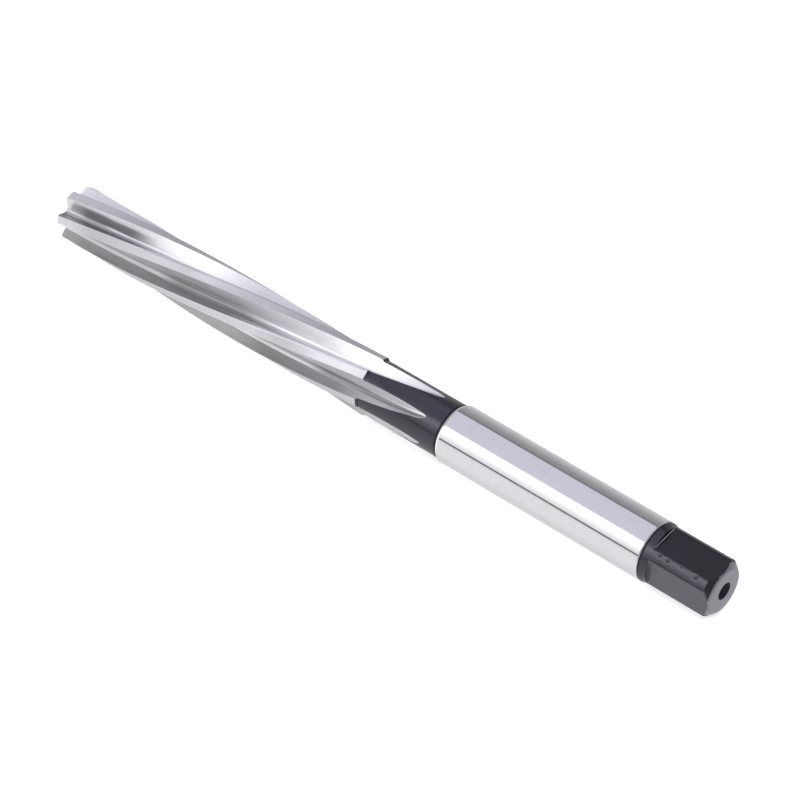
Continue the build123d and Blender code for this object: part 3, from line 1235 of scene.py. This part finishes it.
@dataclass(frozen=True)
class Reamer:
    """The whole tool: teeth and neck, shank and collar, square and centre holes."""

    lie: Lie = Lie()
    cutting: CuttingPart = CuttingPart()
    shank: Shank = Shank()
    square: DriveSquare = DriveSquare()
    hole: CentreHole = CentreHole()

    def finishes(self) -> dict[Finish, GroundSteel | BlackOxide]:
        """The material of each finish."""
        return {
            Finish.SHANK: GroundSteel(
                "ground_shank", Grain.ROUND, roughness=(0.05, 0.12), bump=0.08, specks=0.02, smudges=0.10,
            ),
            Finish.FLUTE: GroundSteel(
                "ground_flute", Grain.HELIX, (0.88, 0.88, 0.895), (0.775, 0.775, 0.795),
                (0.31, 0.35), 5000.0, 40.0, 0.10, 0.000005, 0.02, 0.8,
            ),
            Finish.LAND: GroundSteel(
                "ground_land", Grain.ROUND, (0.75, 0.75, 0.77), (0.70, 0.70, 0.725),
                (0.50, 0.56), 7000.0, bump=0.03,
            ),
            # Cutting faces and roots: a darker copy of the flute's steel, painted shade of the deep flute,
            # with a lighter tone for their painted sheen.
            Finish.FACE: GroundSteel(
                "ground_face", Grain.HELIX, (0.355, 0.355, 0.36), (0.305, 0.305, 0.31),
                (0.28, 0.32), 6000.0, 40.0, 0.15, 0.000006, 0.01, 0.3, (0.66, 0.66, 0.67),
            ),
            Finish.NECK: BlackOxide("black_neck", Grain.ROUND, painted_light_share=0.4),
            # The square's flats: the front one paler by painted light, the upper one with a painted highlight
            # at its start.
            Finish.SQUARE: BlackOxide(
                "black_square", Grain.ALONG, roughness=(0.28, 0.40), gloss=1.47, tint=(0.95, 0.95, 1.0),
                painted_front_light=0.9,
            ),
            Finish.HOLE: BlackOxide("black_hole", Grain.ROUND, roughness=(0.4, 0.6), gloss=1.35),
            Finish.END: GroundSteel(
                "grey_end", Grain.ROUND, (0.345, 0.345, 0.39), (0.285, 0.285, 0.325),
                (0.28, 0.36), 6000.0, 12.0, 0.3, 0.000008,
            ),
        }

    def build(self) -> bpy.types.Object:
        """Builds the skin from tip to square, and dresses it.

        Returns:
            The tool's object.
        """
        skin = Skin(self.lie)
        rim_r, rim_a = self.cutting.tip_ring()
        even = rim_a[0] + 360.0 * np.arange(len(rim_a)) / len(rim_a)
        self.hole.build(skin, 0.0, 1.0, (even + rim_a) / 2, (rim_r, rim_a), Finish.FACE)
        neck_angle = self.cutting.build(skin)
        LOG.info("teeth and neck: %d patches", len(skin.patches))
        ring = self.square.columns()
        nearest = int(np.argmin(np.abs(wrap(ring - neck_angle[0]))))
        self.shank.build(skin, self.cutting.flute.neck_end, neck_angle, np.roll(ring, -nearest))
        LOG.info("shank and collar: %d patches", len(skin.patches))
        self.square.build(skin, self.hole)
        LOG.info("drive square: %d patches", len(skin.patches))
        mesh = skin.mesh("reamer_skin")
        tool = bpy.data.objects.new("reamer_skin", mesh)
        bpy.context.scene.collection.objects.link(tool)
        looks = self.finishes()
        for finish in Finish:
            mesh.materials.append(looks[finish].material())
        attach(tool, "root")
        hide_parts("hand_reamer")
        LOG.info("reamer_skin: %d points, %d faces", len(mesh.vertices), len(mesh.polygons))
        return tool


@dataclass(frozen=True)
class Studio:
    """Pale floor, soft light from a tent of panels, and the camera.

    Lengths are in metres, but for the lens and the sensor. A panel has an angle, a
    strength and a tint, and tint_pull says how far a full tint changes red, green and
    blue. tip_blend and square_blend are the shares of a direction along the axis between
    which one ring of panels takes over from another.
    """

    azimuth: float = 42.882
    elevation: float = 45.964
    roll: float = -3.357
    distance: float = 0.4816
    lens: float = 139.4
    sensor: float = 36.0
    clip_start: float = 0.01
    target: tuple[float, float, float] = (0.004089, 0.000176, 0.005)
    floor_size: float = 3.0
    floor_tones: tuple[Tone, Tone] = ((0.90, 0.90, 0.905), (0.92, 0.92, 0.92))
    floor_glow: float = 0.5
    lamp_size: tuple[float, float] = (1.6, 1.2)
    lamp_height: float = 1.5
    lamp_energy: float = 28.0
    tint_pull: Tone = (-0.02, -0.025, 0.11)
    tip_blend: tuple[float, float] = (-0.66, -0.60)
    square_blend: tuple[float, float] = (0.55, 0.72)
    middle: Panels = (
        (-180.0, 0.77, 0.1), (-165.0, 0.80, 0.1), (-127.0, 0.76, 0.1), (-107.0, 0.62, 0.1),
        (-93.0, 0.56, 0.1), (-81.0, 0.46, 0.1), (-73.0, 0.41, 0.2), (-63.0, 0.345, 0.3),
        (-52.0, 0.30, 0.4), (-43.5, 0.17, 0.5), (-42.0, 0.70, 1.0), (28.0, 0.72, 1.0), (33.0, 2.3, 0.1),
        (50.0, 2.1, 0.1), (60.0, 1.15, 0.1), (66.0, 1.03, 0.1), (76.0, 0.86, 0.1), (78.5, 0.10, 0.3),
        (82.0, 0.10, 0.3), (84.0, 0.80, 0.2), (93.0, 0.90, 0.1), (127.0, 0.90, 0.1), (143.0, 0.86, 0.1),
        (163.0, 0.77, 0.1), (180.0, 0.77, 0.1),
    )
    tip_side: Panels = (
        (-180.0, 1.1, 0.1), (-127.0, 0.95, 0.1), (-112.0, 0.80, 0.1), (-94.0, 0.56, 0.1), (-73.0, 0.45, 0.1),
        (-10.0, 0.50, 0.2), (14.0, 0.56, 0.2), (34.0, 0.86, 0.1), (58.0, 1.08, 0.1), (79.0, 1.30, 0.1),
        (97.0, 1.50, 0.1), (140.0, 1.2, 0.1), (180.0, 1.1, 0.1),
    )
    square_side: Panels = (
        (-180.0, 0.78, 0.1), (-120.0, 0.75, 0.1), (-90.0, 0.55, 0.1), (-50.0, 0.45, 0.2), (100.0, 0.45, 0.2),
        (118.0, 0.80, 0.1), (180.0, 0.78, 0.1),
    )

    def floor(self) -> None:
        """Adds a plain pale floor, lit a little from below like a light table."""
        half = self.floor_size / 2
        mesh = bpy.data.meshes.new("floor")
        corners = [(-half, -half, 0.0), (half, -half, 0.0), (half, half, 0.0), (-half, half, 0.0)]
        mesh.from_pydata(corners, [], [(0, 1, 2, 3)])
        plate = bpy.data.objects.new("floor", mesh)
        bpy.context.scene.collection.objects.link(plate)
        material, nodes = dressing("pale_floor")
        tone = nodes.ramp(nodes.noise(nodes.place(), 4.0, 2.0), 0.3, 0.7)
        first, second = self.floor_tones
        nodes.shade({
            "Base Color": nodes.mix(tone, (*first, 1.0), (*second, 1.0)), "Roughness": 0.7,
            "Specular IOR Level": 0.2, "Emission Color": (1.0, 1.0, 1.0, 1.0),
            "Emission Strength": self.floor_glow,
        })
        mesh.materials.append(material)
        plate.visible_glossy = False

    def tent(self) -> None:
        """Lights the scene from panels that stand round the tool.

        The light's strength follows the angle round the tool's axis, from straight up
        towards the front. There are three rings of panels: one at the middle, one on the
        tip's side and one on the square's side, chosen by the share of the direction that
        runs along the axis.
        """
        world = bpy.data.worlds.new("tent")
        bpy.context.scene.world = world
        world.use_nodes = True
        nodes = Nodes(world.node_tree)
        way = nodes.add("SeparateXYZ", {0: nodes.add("TexCoord").outputs["Generated"]})
        turn = nodes.math("ARCTAN2", nodes.math("MULTIPLY", way.outputs[1], -1.0), way.outputs[2])
        share = nodes.math("MULTIPLY_ADD", turn, 1.0 / (2 * math.pi), 0.5)
        top = max(strength for _, strength, _ in self.middle)
        rings = (self.middle, self.tip_side, self.square_side)
        middle, tip_side, square_side = (self.ring(nodes, share, panels, top) for panels in rings)
        colour = nodes.mix(nodes.ramp(way.outputs[0], *self.tip_blend), tip_side, middle)
        colour = nodes.mix(nodes.ramp(way.outputs[0], *self.square_blend), colour, square_side)
        light = nodes.add("Background", {0: colour, 1: top})
        nodes.add("OutputWorld", {0: light.outputs[0]})

    def ring(self, nodes: Nodes, share: Socket, panels: Panels, top: float) -> Socket:
        """Colour of one ring of panels.

        Each panel's colour is its strength over the top one, turned a little to lavender
        by its tint.

        Args:
            nodes: the tree to add to.
            share: place round the axis, from 0 at straight down round to 1.
            panels: angle, strength and tint of each panel.
            top: strength that counts as full.

        Returns:
            The colour's socket.
        """
        node = nodes.add("ValToRGB", {0: share})
        stops = node.color_ramp.elements
        for number, (angle, strength, tint) in enumerate(panels):
            place = (angle + 180.0) / 360.0
            stop = stops[number] if number < 2 else stops.new(place)
            stop.position = place
            stop.color = (*(strength / top * (1.0 + pull * tint) for pull in self.tint_pull), 1.0)
        return node.outputs[0]

    def lamp(self) -> None:
        """Adds one large overhead lamp that brightens the floor and is not mirrored."""
        data = bpy.data.lights.new("overhead", "AREA")
        data.shape = "RECTANGLE"
        data.size, data.size_y = self.lamp_size
        data.energy = self.lamp_energy
        lamp = bpy.data.objects.new("overhead", data)
        lamp.location = (0.0, 0.0, self.lamp_height)
        lamp.visible_glossy = False
        bpy.context.scene.collection.objects.link(lamp)

    def camera(self) -> None:
        """Adds the camera: its back axis from azimuth and elevation, turned by its roll."""
        around, rise, roll = (math.radians(value) for value in (self.azimuth, self.elevation, self.roll))
        level = Vector((math.sin(around), -math.cos(around), 0.0))
        back = level * math.cos(rise) + Vector((0.0, 0.0, math.sin(rise)))
        right = Vector((math.cos(around), math.sin(around), 0.0))
        up = back.cross(right)
        right, up = right * math.cos(roll) + up * math.sin(roll), up * math.cos(roll) - right * math.sin(roll)
        data = bpy.data.cameras.new("camera")
        data.lens, data.sensor_width, data.clip_start = self.lens, self.sensor, self.clip_start
        camera = bpy.data.objects.new("camera", data)
        turn = Matrix((right, up, back)).transposed().to_4x4()
        camera.matrix_world = Matrix.Translation(Vector(self.target) + back * self.distance) @ turn
        bpy.context.scene.collection.objects.link(camera)
        bpy.context.scene.camera = camera

    def build(self) -> None:
        """Sets up floor, light, camera and colour management."""
        self.camera()
        self.floor()
        self.tent()
        self.lamp()
        bpy.context.scene.view_settings.view_transform = "Standard"


def main() -> None:
    """Builds the tool and the studio."""
    logging.basicConfig(level=logging.INFO, format="%(name)s: %(message)s")
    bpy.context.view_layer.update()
    Reamer().build()
    Studio().build()
    bpy.context.view_layer.update()


if __name__ == "__main__":
    main()
